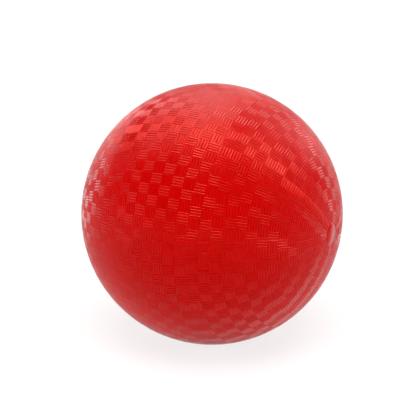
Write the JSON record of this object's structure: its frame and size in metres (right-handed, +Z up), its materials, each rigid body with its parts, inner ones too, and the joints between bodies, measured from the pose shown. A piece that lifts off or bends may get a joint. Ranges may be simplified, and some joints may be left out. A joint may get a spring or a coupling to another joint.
{
  "type": "rubber playground ball",
  "caption": "Inflatable rubber ball with a moulded basket-weave grip, a wound bladder and a flush needle valve, for kicking, bouncing and throwing games.",
  "frame": {"origin": "on the floor under the ball's centre, in the middle of the flat patch that the ball presses onto the floor", "axes": "+Z up; the valve looks along -X, and the rings of the weave run round the X axis"},
  "size_m": [0.2156, 0.216, 0.2154],
  "materials": {
    "cover_rubber": "semi-gloss moulded red rubber",
    "nylon_yarn": "undyed nylon yarn set in rubber cement",
    "bladder_rubber": "smooth matt black butyl rubber",
    "valve_rubber": "matt black moulded rubber",
    "plug_rubber": "smooth black moulded rubber"
  },
  "bodies": {
    "root": {"cover": "cover_rubber", "nylon_winding": "nylon_yarn", "bladder": "bladder_rubber", "valve_housing": "valve_rubber", "valve_plug": "plug_rubber"}
  },
  "joints": []
}
